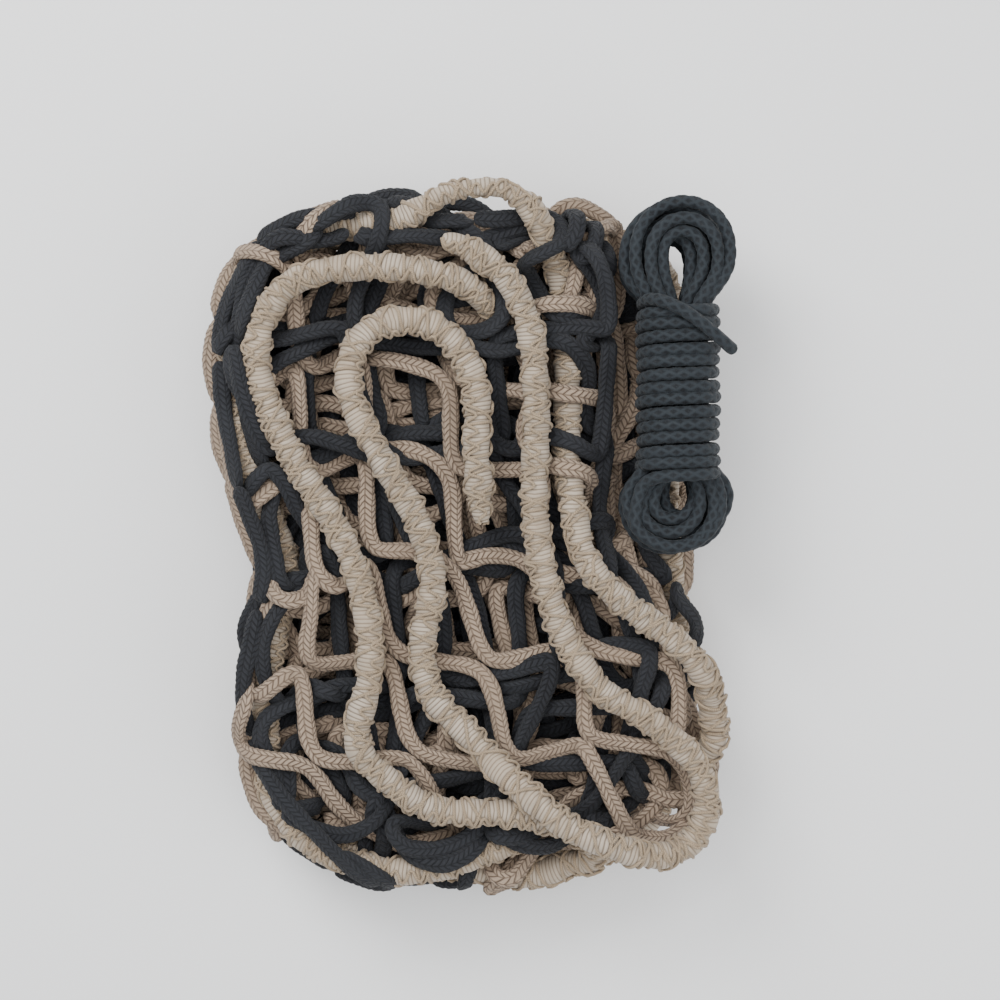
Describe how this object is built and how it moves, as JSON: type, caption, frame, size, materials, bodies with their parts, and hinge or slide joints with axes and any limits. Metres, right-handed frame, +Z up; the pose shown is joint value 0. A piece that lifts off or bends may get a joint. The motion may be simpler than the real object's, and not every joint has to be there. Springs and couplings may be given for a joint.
{
  "type": "hay net",
  "caption": "Slow-feeding hay net for horses, folded flat, with lashed seam and mouth ropes and a wound hank of suspension rope lying on it.",
  "frame": {"origin": "middle of the folded net's bounding box, on the floor it lies on", "axes": "+Z up, +Y towards the end with the standing rope loop, +X towards the side with the rope hank"},
  "size_m": [0.2502, 0.3439, 0.0974],
  "materials": {
    "small_square_net_lower": "matt braided cord, pinkish taupe",
    "small_square_net_upper": "matt braided cord, pinkish taupe",
    "large_square_net_lower": "matt braided cord, black",
    "large_square_net_upper": "matt braided cord, black",
    "left_seam_rope": "braided core lashed with pale twine",
    "right_seam_rope": "braided core lashed with pale twine",
    "bottom_seam_rope": "braided core lashed with pale twine",
    "small_square_mouth_rope": "braided core lashed with pale twine",
    "large_square_mouth_rope": "braided core lashed with pale twine",
    "suspension_rope_hank": "black braided rope",
    "suspension_rope_end": "black braided rope"
  },
  "bodies": {
    "folded_net": {"small_square_net_lower": "small_square_net_lower", "small_square_net_upper": "small_square_net_upper", "large_square_net_lower": "large_square_net_lower", "large_square_net_upper": "large_square_net_upper", "left_seam_rope": "left_seam_rope", "right_seam_rope": "right_seam_rope", "bottom_seam_rope": "bottom_seam_rope", "small_square_mouth_rope": "small_square_mouth_rope", "large_square_mouth_rope": "large_square_mouth_rope"},
    "suspension_rope": {"suspension_rope_hank": "suspension_rope_hank", "suspension_rope_end": "suspension_rope_end"}
  },
  "joints": [
    {"name": "hank_lift", "type": "slide", "parent": "folded_net", "child": "suspension_rope", "axis": [0, 0, 1], "range_m": [0, 0.15]}
  ]
}
